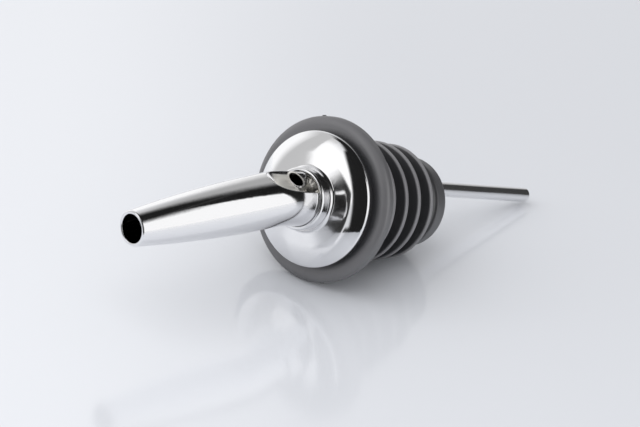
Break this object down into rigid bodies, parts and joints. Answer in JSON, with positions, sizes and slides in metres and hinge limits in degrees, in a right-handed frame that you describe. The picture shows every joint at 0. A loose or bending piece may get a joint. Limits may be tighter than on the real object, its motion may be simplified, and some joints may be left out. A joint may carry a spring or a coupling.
{
  "type": "liquor pourer",
  "caption": "Free-flow bottle pourer: bent tapered metal spout on a domed collar, with a long breather tube and a finned rubber stopper that pulls off.",
  "frame": {"origin": "on the stopper's axis, in the plane of the flange's underside, where a bottle's rim meets it", "axes": "+Z out of the bottle along the shank, +X the side that the spout leans towards, the air pocket on the -X side"},
  "size_m": [0.032, 0.032, 0.1206],
  "materials": {
    "black_rubber": "satin moulded rubber",
    "polished_chrome": "mirror polished",
    "bright_tube": "drawn and bright",
    "tin_solder": "dull lumpy solder"
  },
  "bodies": {
    "stopper": {"rubber_stopper": "black_rubber"},
    "pourer": {"shank_tube": "polished_chrome", "domed_collar": "polished_chrome", "collar_solder": "polished_chrome", "pouring_spout": "polished_chrome", "breather_tube": "bright_tube", "pocket_solder": "tin_solder"}
  },
  "joints": [
    {"name": "pull_out_for_washing", "type": "slide", "parent": "stopper", "child": "pourer", "axis": [0, 0, 1], "range_m": [0, 0.08]}
  ]
}
